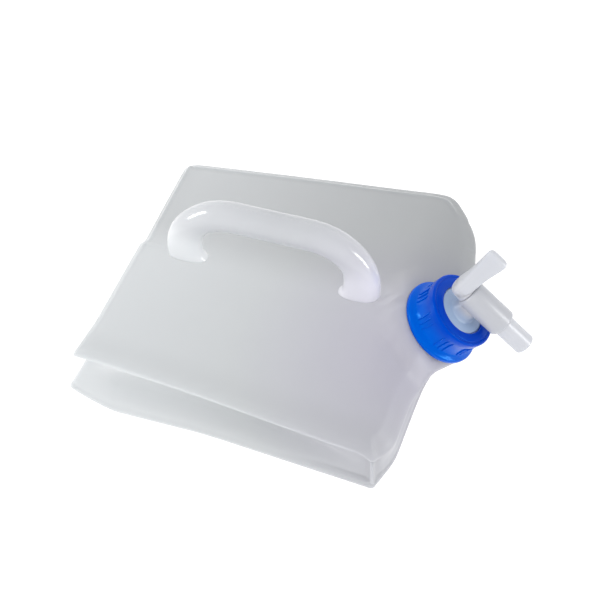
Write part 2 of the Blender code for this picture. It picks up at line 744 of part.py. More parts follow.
def make_tap_housing(material, neck_axis, tap_axis):
    """Flange, stem and open barrel, with a bore from the body to the plug."""
    _, bottom = stack_heights()
    top = bottom + TAP_FLANGE_THICKNESS
    barrel_height = RING_HEIGHT + BARREL_OVER_RING
    profile = (
        (0.0, bottom),
        (WASHER_OUTER_RADIUS, bottom),
        (WASHER_OUTER_RADIUS, top),
        (TAP_BOSS_RADIUS, top),
        (TAP_BOSS_RADIUS, top + TAP_BOSS_RISE),
        (STEM_BASE_RADIUS, top + TAP_BOSS_RISE),
        (STEM_TOP_RADIUS, barrel_height - PLUG_RADIUS - PLUG_CLEARANCE),
        (0.0, barrel_height - PLUG_RADIUS - PLUG_CLEARANCE),
    )
    housing = add_object("tap_housing", turned_bmesh(profile), material, neck_axis)
    edge = BARREL_RADIUS - BARREL_EDGE
    barrel_profile = (
        (0.0, -BARREL_BACK),
        (edge, -BARREL_BACK),
        (BARREL_RADIUS, -BARREL_BACK + BARREL_EDGE),
        (BARREL_RADIUS, BARREL_FRONT - BARREL_EDGE),
        (edge, BARREL_FRONT),
        (0.0, BARREL_FRONT),
    )
    barrel = add_object("barrel_body", along_barrel(turned_bmesh(barrel_profile)), parent=tap_axis)
    combine(housing, barrel, "UNION")
    bore = rod_bmesh(PLUG_RADIUS + PLUG_CLEARANCE, -BARREL_BACK - CUT_OVERRUN, BARREL_FRONT + CUT_OVERRUN)
    combine(housing, add_object("barrel_bore", along_barrel(bore), parent=tap_axis), "DIFFERENCE")
    inlet = rod_bmesh(STEM_BORE_RADIUS, bottom - CUT_OVERRUN, barrel_height)
    combine(housing, add_object("stem_bore", inlet, parent=neck_axis), "DIFFERENCE")
    return housing


def make_tap_plug(material, tap_axis):
    """Lever, ported plug and nozzle, which turn together in the barrel; shut as it stands."""
    hub_back = -BARREL_BACK - GAP - LEVER_HUB_LENGTH
    hub_front = -BARREL_BACK - GAP
    tip = BARREL_FRONT + NOZZLE_LENGTH
    hub_edge = LEVER_EDGE
    profile = (
        (0.0, hub_back),
        (LEVER_HUB_RADIUS - hub_edge, hub_back),
        (LEVER_HUB_RADIUS, hub_back + hub_edge),
        (LEVER_HUB_RADIUS, hub_front),
        (PLUG_RADIUS, hub_front),
        (PLUG_RADIUS, tip - NOZZLE_EDGE),
        (PLUG_RADIUS - NOZZLE_EDGE, tip),
        (PLUG_BORE_RADIUS, tip),
        (PLUG_BORE_RADIUS, -PLUG_END_WALL),
        (0.0, -PLUG_END_WALL),
    )
    plug = add_object("tap_plug", along_barrel(turned_bmesh(profile)), material, tap_axis)
    blade = add_object("lever_blade", blade_bmesh((hub_back + hub_front) / 2), parent=tap_axis)
    combine(plug, blade, "UNION")
    port = rod_bmesh(STEM_BORE_RADIUS, 0.0, PLUG_RADIUS + CUT_OVERRUN)
    sideways = Matrix.Rotation(pi / 2, 3, "X")
    bmesh.ops.rotate(port, verts=port.verts, cent=(0.0, 0.0, 0.0), matrix=sideways)
    combine(plug, add_object("plug_port", port, parent=tap_axis), "DIFFERENCE")
    return plug


def blade_bmesh(hub_middle):
    """The lever's blade, wider and thinner toward its leaning tip."""
    bm = bmesh.new()
    root = -LEVER_HUB_RADIUS / 3
    rings = []
    for height, shift, width, thickness in (
        (root, 0.0, LEVER_ROOT_WIDTH, LEVER_ROOT_THICKNESS),
        (LEVER_REACH, -LEVER_LEAN, LEVER_TIP_WIDTH, LEVER_TIP_THICKNESS),
    ):
        ring = [
            bm.verts.new((hub_middle + shift + sx * width / 2, sy * thickness / 2, height))
            for sx, sy in ((-1, -1), (1, -1), (1, 1), (-1, 1))
        ]
        rings.append(ring)
    for j in range(4):
        bm.faces.new((rings[0][j - 1], rings[0][j], rings[1][j], rings[1][j - 1]))
    bm.faces.new(rings[0])
    bm.faces.new(rings[1])
    bmesh.ops.recalc_face_normals(bm, faces=bm.faces)
    bmesh.ops.bevel(
        bm,
        geom=bm.edges[:],
        offset=LEVER_EDGE,
        segments=2,
        profile=0.5,
        affect="EDGES",
        material=-1,
    )
    return bm


def build():
    clear_scene()
    milky = plastic("milky_polyethylene", (0.72, 0.73, 0.74), 0.35)
    white = plastic("white_polypropylene", (0.80, 0.81, 0.82), 0.30)
    blue = plastic("blue_polypropylene", (0.0, 0.10, 0.62), 0.28)
    rubber = plastic("white_rubber", (0.60, 0.60, 0.58), 0.55)
    body = make_body(milky)
    seat = (neck_x(), 0.0, NECK_SEAT_HEIGHT)
    neck_axis = add_empty("neck_axis", seat, (0.0, NECK_TILT, 0.0))
    barrel_height = RING_HEIGHT + BARREL_OVER_RING
    tap_axis = add_empty("tap_axis", (0.0, 0.0, barrel_height), (0.0, 0.0, BARREL_SWING), neck_axis)
    make_handle(milky, body["upper_panel"])
    make_neck(milky, neck_axis, body["upper_panel"])
    make_ring(blue, neck_axis)
    make_washer(rubber, neck_axis)
    make_tap_housing(white, neck_axis, tap_axis)
    make_tap_plug(white, tap_axis)


build()
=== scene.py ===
"""Folding water carrier, folded flat, with a screw-on tap."""

from math import ceil, cos, floor, pi, radians, sin, tau

import bmesh
import bpy
import numpy as np
from mathutils import Matrix, Vector


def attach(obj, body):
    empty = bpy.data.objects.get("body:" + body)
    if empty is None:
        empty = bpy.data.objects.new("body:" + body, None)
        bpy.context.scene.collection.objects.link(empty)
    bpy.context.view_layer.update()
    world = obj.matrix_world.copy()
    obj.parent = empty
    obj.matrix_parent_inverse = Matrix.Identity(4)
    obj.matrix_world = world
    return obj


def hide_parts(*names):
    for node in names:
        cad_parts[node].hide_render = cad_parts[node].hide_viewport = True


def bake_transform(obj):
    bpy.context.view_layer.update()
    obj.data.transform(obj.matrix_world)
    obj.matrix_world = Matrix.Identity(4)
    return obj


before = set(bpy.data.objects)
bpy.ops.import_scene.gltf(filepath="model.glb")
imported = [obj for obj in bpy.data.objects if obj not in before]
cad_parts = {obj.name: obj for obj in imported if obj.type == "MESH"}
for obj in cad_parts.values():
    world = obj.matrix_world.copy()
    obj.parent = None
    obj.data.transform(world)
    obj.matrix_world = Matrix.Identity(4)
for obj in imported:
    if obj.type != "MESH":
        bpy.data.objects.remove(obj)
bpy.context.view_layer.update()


# Folded body: one hollow blow moulding of low-density polyethylene. Its two big panels are
# stiff enough to lie flat, and its four sides are folded in between them. The mould leaves
# a rolled bead round both panels.
HALF_LENGTH = 0.120
HALF_DEPTH = 0.122
CORNER_SETBACK = 0.010
OUTLINE_STEP = 0.006
ARC_STEPS = 10

# The stretches after these corners have steps a third as long, for the crease and the bead
FINE_SPANS = ("front_middle", "near_right")

# Corners in order round the body from the near left: the upper lip's x and y, then the
# lower lip's, as shares of the half length and depth; how far the corner is rounded, as a
# share of the setback; and how the panel turns down into the wall there, from 0 for a
# rolled lip to 1 for a flattened bend or -1 for a tight one with a fine raised line inside.
CORNERS = {
    "near_left": ((-0.935, -0.975), (-1.022, -0.990), 0.3, 0.0),
    "near_left_floor": ((-0.700, -0.962), (-0.717, -0.986), 0.8, 0.0),
    "front_middle": ((-0.150, -0.958), (-0.150, -0.970), 1.5, 0.0),
    "near_right": ((0.930, -0.982), (0.954, -1.020), 0.3, 0.0),
    "right_near": ((1.021, -0.852), (1.035, -0.800), 0.8, 1.0),
    "right_bend": ((1.050, -0.508), (1.060, -0.450), 1.2, 1.0),
    "neck_near": ((1.117, -0.328), (1.080, -0.230), 1.2, 1.0),
    "neck_side": ((1.225, -0.164), (1.121, -0.066), 1.0, 1.0),
    "neck": ((1.330, 0.025), (1.150, 0.082), 1.2, 1.0),
    "neck_far": ((1.267, 0.279), (1.167, 0.295), 1.2, 1.0),
    "right_far": ((1.218, 0.545), (1.150, 0.541), 1.2, 0.9),
    "far_shoulder": ((1.170, 0.765), (1.108, 0.754), 1.2, 0.5),
    "far_right": ((0.958, 1.007), (0.933, 0.967), 0.9, -0.8),
    "far_left": ((-1.066, 1.040), (-1.000, 0.984), 1.5, -1.0),
    "left_step": ((-0.934, 0.044), (-0.917, 0.044), 0.3, -0.8),
    "left_notch": ((-0.953, -0.006), (-0.930, -0.006), 0.3, -0.6),
    "left_floor": ((-0.922, -0.697), (-0.960, -0.697), 0.8, -0.4),
}

# Each wall's first and last corner, the depth of its fold, the length over which the fold
# grows from either end, the height share of its crease at either end, and how soft the
# fold is, from 0 for a sharp crease between flat leaves to 1 for a wave
WALLS = {
    "front": ("near_left", "near_right", 0.014, 0.026, 0.050, 0.52, 0.48, 1.0),
    "right": ("near_right", "far_right", 0.004, 0.045, 0.045, 0.50, 0.50, 1.0),
    "rear": ("far_right", "far_left", 0.034, 0.045, 0.045, 0.50, 0.50, 0.0),
    "left": ("far_left", "near_left", 0.019, 0.045, 0.045, 0.50, 0.50, 0.0),
}

# The panel's edge in section, as inset from the lip and rise over the panel: a rolled lip at
# the front, a flattened bend at the neck's side, and a tight bend at the rear and the left
ROLLED_LIP = (
    (0.0170, 0.0000), (0.0140, 0.0000), (0.0110, 0.0000), (0.0092, -0.0001),
    (0.0076, -0.0002), (0.0063, -0.0004), (0.0051, -0.0007), (0.0041, -0.0010),
    (0.0032, -0.0013), (0.0023, -0.0018), (0.0015, -0.0022), (0.0008, -0.0028),
    (0.0003, -0.0034), (0.0000, -0.0042), (0.0006, -0.0052), (0.0024, -0.0059),
)
FLAT_BEND = (
    (0.0170, 0.0000), (0.0145, 0.0000), (0.0122, -0.0001), (0.0108, -0.0004),
    (0.0096, -0.0009), (0.0083, -0.0014), (0.0070, -0.0020), (0.0057, -0.0026),
    (0.0045, -0.0031), (0.0034, -0.0037), (0.0024, -0.0043), (0.0015, -0.0050),
    (0.0008, -0.0057), (0.0003, -0.0065), (0.0001, -0.0072), (0.0000, -0.0079),
)
TIGHT_BEND = (
    (0.0170, 0.0000), (0.0140, 0.0000), (0.0110, 0.0000), (0.0093, 0.0000),
    (0.0080, 0.0000), (0.0068, -0.0001), (0.0055, -0.0003), (0.0044, -0.0006),
    (0.0034, -0.0009), (0.0025, -0.0012), (0.0016, -0.0016), (0.0009, -0.0021),
    (0.0004, -0.0028), (0.0000, -0.0038), (0.0003, -0.0051), (0.0010, -0.0065),
)
RAISED_LINE_HEIGHT = 0.0017
RAISED_LINE_WIDTH = 0.0013
RAISED_LINE_INSET = 0.0080
LEFT_LINE_INSET = 0.0044

# The lower lip in section, as inset from the lip and height over the floor, and how far its
# near left tip is lifted off the floor
LOWER_LIP = (
    (0.0012, 0.0085), (0.0004, 0.0070), (0.0, 0.0054), (0.0003, 0.0034), (0.0012, 0.0016),
    (0.0028, 0.0004), (0.0050, 0.0),
)
TIP_LIFT = 0.0185

# The top panel's height at its four corners and along the ridge between its two halves. The
# ridge climbs toward the neck and then falls as a facet, and it is more rounded there.
NEAR_LEFT_HEIGHT = 0.067
NEAR_RIGHT_HEIGHT = 0.037
FAR_LEFT_HEIGHT = 0.037
FAR_RIGHT_HEIGHT = 0.070
RIDGE_HEIGHT = 0.0615
RIDGE_ROUNDING = 0.0022
ADDED_ROUNDING = 0.014
CLIMB_START = 0.049
CLIMB_LENGTH = 0.050
CLIMB_HEIGHT = 0.007
FACET_START = 0.099
FACET_SLOPE = 0.72
FACET_SOFTNESS = 0.004

# The neck's seat, the panel's swell round it, and the line pinched up at the left notch
NECK_SEAT = Vector((0.1307, 0.0, 0.05065))
NECK_TILT = radians(35.3)
SEAT_GAP = 0.0001
SWELL_REACH = 0.056
SWELL_FADE = 0.022
PINCH_HEIGHT = 0.0008
PINCH_WIDTH = 0.0013
PINCH_Y = 0.0005
PINCH_END = -0.088
PINCH_FADE = 0.016


def corner_points(lip):
    """Corners of the upper lip, 0, or the lower one, 1, and how far each is rounded."""
    points = [(c[lip][0] * HALF_LENGTH, c[lip][1] * HALF_DEPTH, 0.0) for c in CORNERS.values()]
    return np.array(points), np.array([c[2] for c in CORNERS.values()]) * CORNER_SETBACK


def softplus(x, width):
    """0 below 0 and x above it, with a soft turn between."""
    return np.logaddexp(0.0, x / width) * width


def smooth(x):
    """Rises from 0 to 1 as x does, with a soft start and end."""
    x = np.clip(x, 0.0, 1.0)
    return x * x * (3 - 2 * x)


def bell(away, width):
    """1 at the middle, fading to almost nothing at twice the width."""
    return np.exp(-((away / width) ** 2))


def panel_height(points):
    """Top panel: two halves meeting at a soft ridge, a sloping facet at the neck, and a
    swell round the neck that comes up to the ring."""
    corners, _ = corner_points(0)
    places = dict(zip(CORNERS, corners))
    x, y = points[:, 0], points[:, 1]

    def edge(left, right, left_height, right_height):
        along = (x - places[left][0]) / (places[right][0] - places[left][0])
        line = places[left][1] + (places[right][1] - places[left][1]) * along
        return left_height + (right_height - left_height) * along, line

    near, near_y = edge("near_left", "near_right", NEAR_LEFT_HEIGHT, NEAR_RIGHT_HEIGHT)
    far, far_y = edge("far_left", "far_right", FAR_LEFT_HEIGHT, FAR_RIGHT_HEIGHT)
    climb = np.clip((x - CLIMB_START) / CLIMB_LENGTH, 0.0, 1.0)
    ridge = RIDGE_HEIGHT + CLIMB_HEIGHT * climb**2
    ridge = ridge - softplus(x - FACET_START, FACET_SOFTNESS) * FACET_SLOPE
    across = np.clip((x + HALF_LENGTH) / (2 * HALF_LENGTH), 0.0, 1.0)
    rounding = RIDGE_ROUNDING + ADDED_ROUNDING * across
    away = np.sqrt(y**2 + rounding**2) - rounding
    toward = np.where(y < 0, away / np.abs(near_y), away / np.abs(far_y))
    height = ridge + (np.where(y < 0, near, far) - ridge) * toward
    seat = NECK_SEAT.z - (SEAT_GAP + sin(NECK_TILT) * (x - NECK_SEAT.x)) / cos(NECK_TILT)
    reach = np.hypot((x - NECK_SEAT.x) / cos(NECK_TILT), y)
    swell = smooth((SWELL_REACH - reach) / SWELL_FADE)
    pinch = PINCH_HEIGHT * bell(y - PINCH_Y, PINCH_WIDTH) * smooth((PINCH_END - x) / PINCH_FADE)
    return height + (seat - height) * swell + pinch


def inset_corners(points, setbacks, inset):
    """Moves a closed outline in by an inset, and fits the rounding of its corners to that."""
    ahead = np.roll(points, -1, axis=0) - points
    ahead /= np.linalg.norm(ahead, axis=1, keepdims=True)
    back = np.roll(ahead, 1, axis=0)
    turn = back[:, 0] * ahead[:, 1] - back[:, 1] * ahead[:, 0]
    facing = 1 + np.sum(back * ahead, axis=1)
    into = [-back[:, 1] - ahead[:, 1], back[:, 0] + ahead[:, 0], np.zeros(len(points))]
    into = np.stack(into, axis=1) / facing[:, None]
    return points + into * inset, setbacks - turn / facing * inset


def lip_row(lip, span_counts, inset=0.0):
    """One lip in plan as a closed row: an arc at each corner, then even steps to the next.
    An arc takes at most 45 % of the shorter side beside it, and at least 5 % of that."""
    points, setbacks = inset_corners(*corner_points(lip), inset)
    ahead = np.roll(points, -1, axis=0) - points
    lengths = np.linalg.norm(ahead, axis=1)
    room = np.minimum(lengths, np.roll(lengths, 1)) * 0.45
    setbacks = np.clip(setbacks, room * 0.05, room)
    ahead /= lengths[:, None]
    starts = points - np.roll(ahead, 1, axis=0) * setbacks[:, None]
    ends = points + ahead * setbacks[:, None]
    row = []
    for k, corner in enumerate(points):
        for j in range(ARC_STEPS + 1):
            t = j / ARC_STEPS
            row.append((1 - t) ** 2 * starts[k] + 2 * t * (1 - t) * corner + t**2 * ends[k])
        next_start = starts[(k + 1) % len(points)]
        for j in range(1, span_counts[k]):
            row.append(ends[k] + (next_start - ends[k]) * j / span_counts[k])
    return np.array(row)


def at_height(row, height):
    """A row with its points set at a height."""
    lifted = row.copy()
    lifted[:, 2] = height
    return lifted


def tip_lift(row):
    """How far the lower lip is off the floor, from its near left tip to the next corner."""
    corners, _ = corner_points(1)
    reach = np.linalg.norm(corners[1] - corners[0])
    away = np.linalg.norm(row[:, :2] - corners[0][:2], axis=1) / reach
    return TIP_LIFT * np.clip(1 - away, 0.0, 1.0) ** 1.5


def row_edges(bm, row):
    """The edges of a closed row of vertices, made where there are none."""
    return [bm.edges.get(pair) or bm.edges.new(pair) for pair in zip(row, row[1:] + row[:1])]


def add_row(bm, row, points):
    """Extrudes a closed row of vertices and moves the new one on to its points."""
    made = bmesh.ops.extrude_edge_only(bm, edges=row_edges(bm, row))["geom"]
    fresh = {part for part in made if isinstance(part, bmesh.types.BMVert)}
    moved = []
    for vert, point in zip(row, points):
        others = [edge.other_vert(vert) for edge in vert.link_edges]
        twin = next(other for other in others if other in fresh)
        twin.co = point
        moved.append(twin)
    return moved


def skin_over(rows, close_start=True):
    """Lays a skin over closed rows of points. A face closes its end, and its start as well
    unless close_start is false."""
    bm = bmesh.new()
    row = [bm.verts.new(point) for point in rows[0]]
    if close_start:
        bmesh.ops.contextual_create(bm, geom=row + row_edges(bm, row))
    for points in rows[1:]:
        row = add_row(bm, row, points)
    bmesh.ops.contextual_create(bm, geom=row + row_edges(bm, row))
    return bm


def new_piece(name, bm, material, sharp=radians(60), turn_out=True):
    """Makes an object of a bmesh. turn_out merges its doubles and turns its faces outwards."""
    if turn_out:
        bmesh.ops.remove_doubles(bm, verts=bm.verts, dist=0.000001)
        bmesh.ops.recalc_face_normals(bm, faces=bm.faces)
    mesh = bpy.data.meshes.new(name)
    bm.to_mesh(mesh)
    bm.free()
    mesh.shade_smooth()
    mesh.set_sharp_from_angle(angle=sharp)
    piece = bpy.data.objects.new(name, mesh)
    bpy.context.scene.collection.objects.link(piece)
    mesh.materials.append(material)
    return piece


def linear(code):
    """A colour given as sRGB hex, in the linear values that shaders take."""
    parts = [int(code[i:i + 2], 16) / 255 for i in (1, 3, 5)]
    return (*[c / 12.92 if c <= 0.04045 else ((c + 0.055) / 1.055) ** 2.4 for c in parts], 1.0)


# Sockets that share their names with others on their node, so they are given by number: the
# two colours and the result of a Mix node, and the second value of a Math or Vector Math node
COLOUR_A = 6
COLOUR_B = 7
COLOUR_RESULT = 2
SECOND_VALUE = 1


def add_node(material, kind, settings=None, **links):
    """Adds a shader node, sets its properties and plain inputs, and links the others."""
    tree = material.node_tree
    made = tree.nodes.new(kind)
    for key, value in (settings or {}).items():
        if isinstance(key, str) and hasattr(made, key):
            setattr(made, key, value)
        else:
            made.inputs[key].default_value = value
    for key, source in links.items():
        tree.links.new(source, made.inputs[key.replace("_", " ")])
    return made


def new_finish(name, sockets):
    """A new material, with the plain inputs of its shader set."""
    material = bpy.data.materials.new(name)
    material.use_nodes = True
    shader = material.node_tree.nodes["Principled BSDF"]
    for key, value in sockets.items():
        shader.inputs[key].default_value = value
    return material, shader


def moulded_grain(material, place, scale, detail, strength, distance):
    """The fine unevenness that a mould leaves: noise of a given scale as a shallow bump."""
    noise = add_node(material, "ShaderNodeTexNoise", {"Scale": scale, "Detail": detail}, Vector=place)
    relief = {"Strength": strength, "Distance": distance}
    bump = add_node(material, "ShaderNodeBump", relief, Height=noise.outputs["Fac"])
    shader = material.node_tree.nodes["Principled BSDF"]
    material.node_tree.links.new(bump.outputs["Normal"], shader.inputs["Normal"])


# Low-density polyethylene, blow-moulded: milky and waxy, so light goes some millimetres in and shadows
# on it stay pale. Its tone is greyer along set ramps, which is painted shade, and near the neck it has a
# faint painted blue light from the ring.
# Painted light: a faint blue from the ring, tinted on strongest near a point in front of the neck's seat
# and gone by the far distance.
RING_GLOW_CENTRE = NECK_SEAT - Vector((0.020, 0.045, 0.0))
RING_GLOW_NEAR = 0.020
RING_GLOW_FAR = 0.120
RING_GLOW_COLOUR = "#f9f4ff"
PATCHINESS = 0.06


def milky_skin(name, pale, grey, shade_ramps, roughness, specular, depth):
    """Milky polyethylene with painted shade. Each row of the shade ramps is an axis, where the painted
    shade starts and ends along it, and how much greyer it makes the skin."""
    material, shader = new_finish(name, {
        "Roughness": roughness, "IOR": 1.51, "Specular IOR Level": specular,
        "Subsurface Weight": 0.9, "Subsurface Radius": (1.0, 1.0, 1.0), "Subsurface Scale": depth,
        "Sheen Weight": 0.12, "Sheen Roughness": 0.4,
    })
    link = material.node_tree.links.new
    place = add_node(material, "ShaderNodeTexCoord").outputs["Object"]
    axes = add_node(material, "ShaderNodeSeparateXYZ", Vector=place)
    cloud = add_node(material, "ShaderNodeTexNoise", {"Scale": 14.0, "Detail": 2.0}, Vector=place)
    faint = {"operation": "MULTIPLY", SECOND_VALUE: PATCHINESS}
    patches_and_shade = add_node(material, "ShaderNodeMath", faint, Value=cloud.outputs["Fac"]).outputs["Value"]
    for axis, start, end, share in shade_ramps:
        slope = "LINEAR" if axis == "X" else "SMOOTHSTEP"
        ramp = {"interpolation_type": slope, "From Min": start, "From Max": end, "To Max": share}
        greyer = add_node(material, "ShaderNodeMapRange", ramp, Value=axes.outputs[axis])
        more = add_node(material, "ShaderNodeMath", {"operation": "ADD"}, Value=greyer.outputs["Result"])
        link(patches_and_shade, more.inputs[SECOND_VALUE])
        patches_and_shade = more.outputs["Value"]
    tones = {"data_type": "RGBA", COLOUR_A: linear(pale), COLOUR_B: linear(grey)}
    tone = add_node(material, "ShaderNodeMix", tones, Factor=patches_and_shade)
    # Painted light: the ring's faint blue multiplied into the tone near the neck.
    from_centre = {"operation": "DISTANCE", SECOND_VALUE: RING_GLOW_CENTRE}
    nearness = add_node(material, "ShaderNodeVectorMath", from_centre, Vector=place)
    fade = {"From Min": RING_GLOW_NEAR, "From Max": RING_GLOW_FAR, "To Min": 1.0, "To Max": 0.0}
    painted_ring_light = add_node(material, "ShaderNodeMapRange", fade, Value=nearness.outputs["Value"])
    tint = {"data_type": "RGBA", "blend_type": "MULTIPLY", COLOUR_B: linear(RING_GLOW_COLOUR)}
    tinted = add_node(material, "ShaderNodeMix", tint, Factor=painted_ring_light.outputs["Result"])
    link(tone.outputs[COLOUR_RESULT], tinted.inputs[COLOUR_A])
    link(tinted.outputs[COLOUR_RESULT], shader.inputs["Base Color"])
    moulded_grain(material, place, scale=120.0, detail=3.0, strength=0.10, distance=0.0004)
    return material


# Painted shade: the body's skin is greyer toward the neck's end, over the rear half and toward the front
# edge.
milky = milky_skin(
    "low_density_polyethylene", "#ced1d3", "#a3a5a7",
    (("X", -0.100, 0.130, 0.63), ("Y", -0.012, 0.035, 0.36), ("Y", -0.088, -0.108, 0.08)),
    roughness=0.42, specular=0.3, depth=0.004,
)

# Steps from each corner to the next, each corner's place in a row, and the kind of bend all
# along the row, which changes soon after a corner
upper, _ = corner_points(0)
lengths = np.linalg.norm(np.roll(upper, -1, axis=0) - upper, axis=1)
span_steps = [OUTLINE_STEP / (3 if name in FINE_SPANS else 1) for name in CORNERS]
span_counts = [max(2, round(length / step) - 1) for length, step in zip(lengths, span_steps)]
bends = [corner[3] for corner in CORNERS.values()]
middles, softness = {}, []
for name, bend, next_bend, spans in zip(CORNERS, bends, bends[1:] + bends[:1], span_counts):
    middles[name] = len(softness) + ARC_STEPS / 2
    softness += [bend] * (ARC_STEPS + 1)
    softness += [next_bend + (bend - next_bend) * (1 - j / spans) ** 3 for j in range(1, spans)]
softness = np.array(softness)

outline = lip_row(0, span_counts)
steps = np.linalg.norm(np.roll(outline, -1, axis=0) - outline, axis=1)
walked = np.concatenate([[0.0], np.cumsum(steps)])
count = len(outline)


def from_corner(name):
    """Distance along the lip from a corner's middle, negative before it."""
    away = walked[:-1] - walked[round(middles[name])]
    return (away + walked[-1] / 2) % walked[-1] - walked[-1] / 2


# The lip turns down nearly twice as far at its near right tip, and beyond the tip it goes
# over into the flattened bend within a few millimetres
near_left, near_right = from_corner("near_left"), from_corner("near_right")
turned_down = 1 + 0.9 * bell(near_right, 0.0055)
beyond = (near_right > 0) & (near_right < 0.030)
softness = np.where(beyond, np.maximum(softness, 1 - bell(near_right, 0.0060)), softness)

# The top panel spreads from a seam along the ridge. The seam's points are rounded to whole
# steps, so those of its two sides fall on each other.
SEAM_SHARE = 0.35
SEAM_ENDS = (-0.033, 0.060)
SEAM_STEP = 0.003
rows = []
inner = lip_row(0, span_counts, ROLLED_LIP[0][0])
middle = np.zeros_like(inner)
middle[:, 0] = np.clip(inner[:, 0] * SEAM_SHARE, *SEAM_ENDS)
seam = middle.copy()
seam[:, 0] = np.round(seam[:, 0] / SEAM_STEP) * SEAM_STEP
rows.append(at_height(seam, panel_height(seam)))
for share in (0.03, 0.06, 0.10, 0.15, 0.21, 0.28, 0.36, 0.45, 0.55, 0.66, 0.78, 0.90):
    row = middle + (inner - middle) * share
    rows.append(at_height(row, panel_height(row)))
flat_share, tight_share = np.clip(softness, 0.0, 1.0), np.clip(-softness, 0.0, 1.0)
shares = (1 - flat_share - tight_share, flat_share, tight_share)
at_left = np.arange(count) > middles["far_left"]
line_inset = np.where(at_left, LEFT_LINE_INSET, RAISED_LINE_INSET)
for rolled, flattened, tight in zip(ROLLED_LIP, FLAT_BEND, TIGHT_BEND):
    row = rise = 0.0
    for share, (inset, fall) in zip(shares, (rolled, flattened, tight)):
        row = row + share[:, None] * lip_row(0, span_counts, inset)
        rise = rise + share * fall
    raised_line = RAISED_LINE_HEIGHT * tight_share * bell(tight[0] - line_inset, RAISED_LINE_WIDTH)
    rows.append(at_height(row, panel_height(row) + rise * turned_down + raised_line))

# Depth, crease height and softness of the fold at every point of the row
top_edge = rows[-1]
foot = lip_row(1, span_counts, LOWER_LIP[0][0])
foot = at_height(foot, LOWER_LIP[0][1] + tip_lift(foot))
depths, creases, fold_softness = np.zeros(count), np.full(count, 0.5), np.zeros(count)
for first, last, depth, first_reach, last_reach, first_crease, last_crease, bend in WALLS.values():
    begin = middles[first]
    end = begin + (middles[last] - begin) % count
    places = np.arange(ceil(begin), floor(end) + 1)
    marks = walked[places % count] + walked[-1] * (places // count)
    from_first, from_last = marks - marks[0], marks[-1] - marks
    grown = (1 - bell(from_first, first_reach)) * (1 - bell(from_last, last_reach))
    depths[places % count] = depth * grown
    fold_softness[places % count] = bend
    rise = (last_crease - first_crease) * from_first / from_first[-1]
    creases[places % count] = first_crease + rise

# The walls' rows from top to foot, as shares of the height, each moved in by its fold. The
# near left corner is tucked in under the lip. A bead stands up the near right corner, with
# a groove beyond it and a shallow hollow in the front wall beside it, and they fade out at
# the wall's top and foot.
CREASE_ROUNDING = 0.0035
TUCK_DEPTH = 0.009
TUCK_SHARE = 0.13
BEAD_HEIGHT = 0.0018
HOLLOW_DEPTH = 0.0026
along = np.roll(top_edge + foot, -1, axis=0) - np.roll(top_edge + foot, 1, axis=0)
into = np.stack([-along[:, 1], along[:, 0], np.zeros(count)], axis=1)
into /= np.linalg.norm(into, axis=1, keepdims=True)
corner_way = into[round(middles["near_left"])]
tuck = bell(near_left, 0.016)
bead = bell(near_right, 0.0024) - 0.5 * bell(near_right - 0.0052, 0.0020)
hollow = smooth((-near_right - 0.001) / 0.005) * smooth((near_right + 0.08) / 0.07)
for share in (
    0.97, 0.94, 0.90, 0.86, 0.81, 0.76, 0.67, 0.60, 0.55,
    0.52, 0.50, 0.48, 0.45, 0.40, 0.33, 0.24, 0.14, 0.06,
):
    above, below = creases + (1 - creases) * (share - 0.5) / 0.5, creases * share / 0.5
    height = np.where(share > 0.5, above, below)
    leaf = abs(share - 0.5) / 0.5
    creased = max(1 - np.sqrt(leaf**2 + CREASE_ROUNDING) + np.sqrt(CREASE_ROUNDING), 0.0)
    pulled = creased + (0.5 + 0.5 * cos(pi * leaf) - creased) * fold_softness
    edge = foot + (top_edge - foot) * height[:, None]
    tucked = min((1 - share) / TUCK_SHARE, share / (1 - TUCK_SHARE)) * TUCK_DEPTH * tuck
    grown = min((1 - share) / 0.14, share / 0.06, 1.0)
    proud = grown * (BEAD_HEIGHT * bead - HOLLOW_DEPTH * hollow)
    rows.append(edge + into * (depths * pulled - proud)[:, None] + corner_way * tucked[:, None])
for inset, height in LOWER_LIP:
    row = lip_row(1, span_counts, inset)
    rows.append(at_height(row, height + tip_lift(row)))
flat = rows[-1]
for share in (0.05, 0.12, 0.28, 0.6):
    row = flat * (1 - share)
    rows.append(at_height(row, tip_lift(row)))

bm = skin_over(rows, close_start=False)
bmesh.ops.triangulate(bm, faces=[face for face in bm.faces if len(face.verts) > 4])
folded_body = new_piece("folded_body", bm, milky)
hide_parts("upper_panel", "lower_panel", "front_wall", "rear_wall", "left_wall", "right_wall")
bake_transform(folded_body)


# Carrying handle: a hollow arch of the same blow moulding, pinched off at the mould's
# parting line, so it is thicker, whiter and glossier than the panels.
HANDLE_CENTRE_X = -0.0008
HANDLE_HALF_SPAN = 0.0731
HANDLE_HEIGHT = 0.0512
HANDLE_BEND_RADIUS = 0.044
HANDLE_TUBE_RADIUS = 0.0117
HANDLE_FOOT = (0.0142, 0.0084)
BEND_STEPS = 20
ROUND_STEPS = 12
FLASH_HEIGHT = 0.0002
FLASH_ANGLE = radians(3)

# The foot of a leg, as rise over the ridge and the width of the fillet there
HANDLE_FILLET = (
    (-0.006, 0.0050), (-0.001, 0.0050), (0.0006, 0.0034),
    (0.0022, 0.0019), (0.0042, 0.0008), (0.0065, 0.0002),
)

# Painted shade: the handle is greyer toward the top of its arch and across the middle of its span than
# at its legs.
handle_skin = milky_skin(
    "thick_polyethylene", "#e4e6e8", "#bcbec2",
    (("X", -0.060, 0.000, 0.25), ("X", 0.030, 0.080, -0.25), ("Z", 0.078, 0.108, 0.72)),
    roughness=0.14, specular=0.6, depth=0.006,
)

